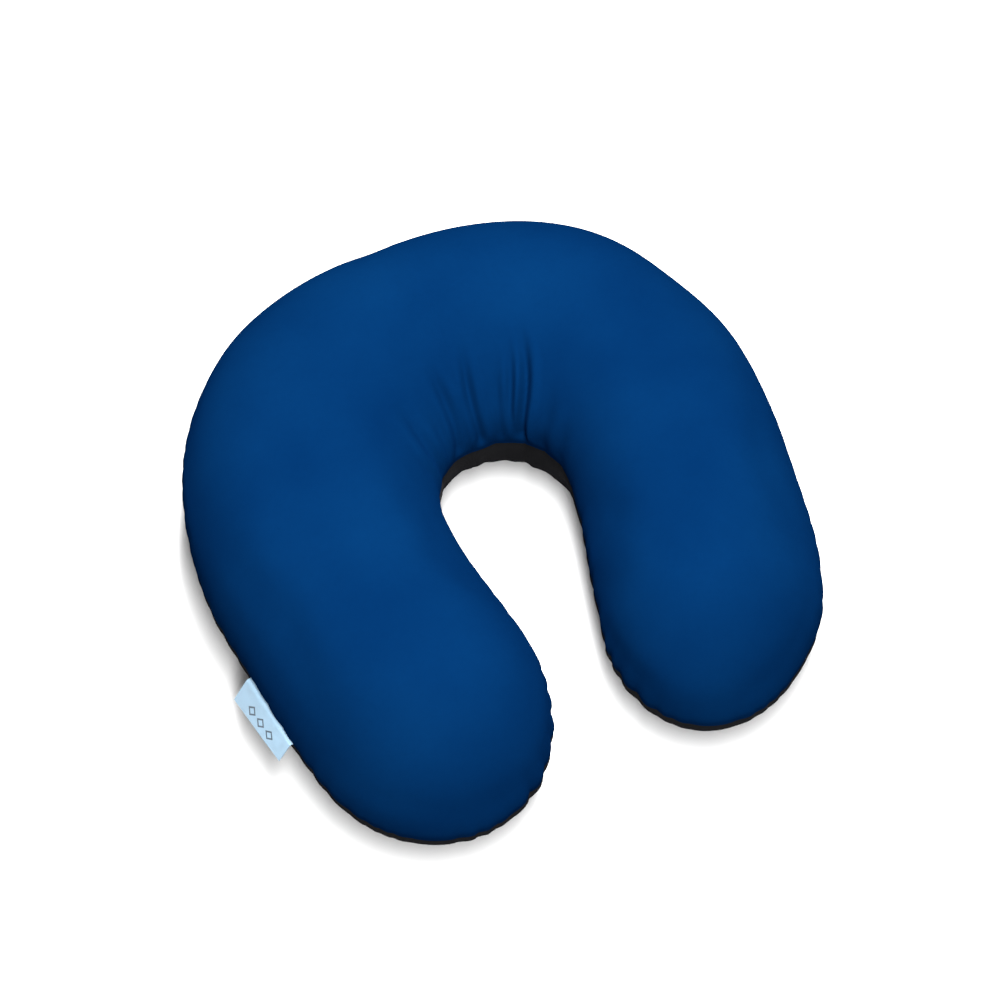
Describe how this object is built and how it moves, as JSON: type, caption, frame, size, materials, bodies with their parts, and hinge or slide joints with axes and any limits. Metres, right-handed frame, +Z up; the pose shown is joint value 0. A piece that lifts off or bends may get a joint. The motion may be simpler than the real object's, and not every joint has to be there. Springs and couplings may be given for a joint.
{
  "type": "neck pillow",
  "caption": "U shaped travel neck pillow with a two-colour stretch knit cover, a liner and a loose bead fill, whose arms spread.",
  "frame": {"origin": "on the surface that the pillow lies on, under the middle of its box, labels included", "axes": "+Z up, the pillow lying flat with its blue side up; -Y out of the mouth of the U; +X to its right arm, seen from above with the mouth nearest"},
  "size_m": [0.3052, 0.3094, 0.0975],
  "materials": {
    "top_fabric": "satin",
    "bottom_fabric": "satin",
    "cover_thread": "satin",
    "liner_fabric": "matte",
    "liner_thread": "matte",
    "beads": "matte",
    "side_label_tape": "satin",
    "care_label_tape": "satin"
  },
  "bodies": {
    "back": {"cover_top_panel": "top_fabric", "cover_bottom_panel": "bottom_fabric", "cover_needle_thread": "cover_thread", "cover_looper_thread": "cover_thread", "cover_closing_thread": "cover_thread", "liner_top_panel": "liner_fabric", "liner_bottom_panel": "liner_fabric", "liner_needle_thread": "liner_thread", "liner_looper_thread": "liner_thread", "liner_closing_thread": "liner_thread", "bead_fill_back": "beads"},
    "left_arm": {"bead_fill_left_arm": "beads"},
    "right_arm": {"bead_fill_right_arm": "beads"},
    "side_label": {"side_label": "side_label_tape"},
    "care_label": {"care_label": "care_label_tape"}
  },
  "joints": [
    {"name": "left_arm_spread", "type": "hinge", "parent": "back", "child": "left_arm", "pos_m": [-0.1289, 0.07544, 0.046], "axis": [0, 0, -1], "range_deg": [0, 25], "deforming": ["cover_top_panel", "cover_bottom_panel", "cover_needle_thread", "cover_looper_thread", "cover_closing_thread", "liner_top_panel", "liner_bottom_panel", "liner_needle_thread", "liner_looper_thread", "liner_closing_thread"]},
    {"name": "right_arm_spread", "type": "hinge", "parent": "back", "child": "right_arm", "pos_m": [0.13511, 0.07544, 0.046], "axis": [0, 0, 1], "range_deg": [0, 25], "deforming": ["cover_top_panel", "cover_bottom_panel", "cover_needle_thread", "cover_looper_thread", "cover_closing_thread", "liner_top_panel", "liner_bottom_panel", "liner_needle_thread", "liner_looper_thread", "liner_closing_thread"]},
    {"name": "side_label_flap", "type": "hinge", "parent": "left_arm", "child": "side_label", "pos_m": [-0.13678, -0.06523, 0.046], "axis": [-0.1615, 0.9869, 0], "range_deg": [-20, 110], "stiffness_Nm_per_rad": 0.0005, "deforming": ["side_label"]},
    {"name": "care_label_flap", "type": "hinge", "parent": "back", "child": "care_label", "pos_m": [0.0867, 0.1292, 0.046], "axis": [0.829, -0.5592, 0], "range_deg": [-5, 130], "stiffness_Nm_per_rad": 0.0005, "deforming": ["care_label"]}
  ]
}
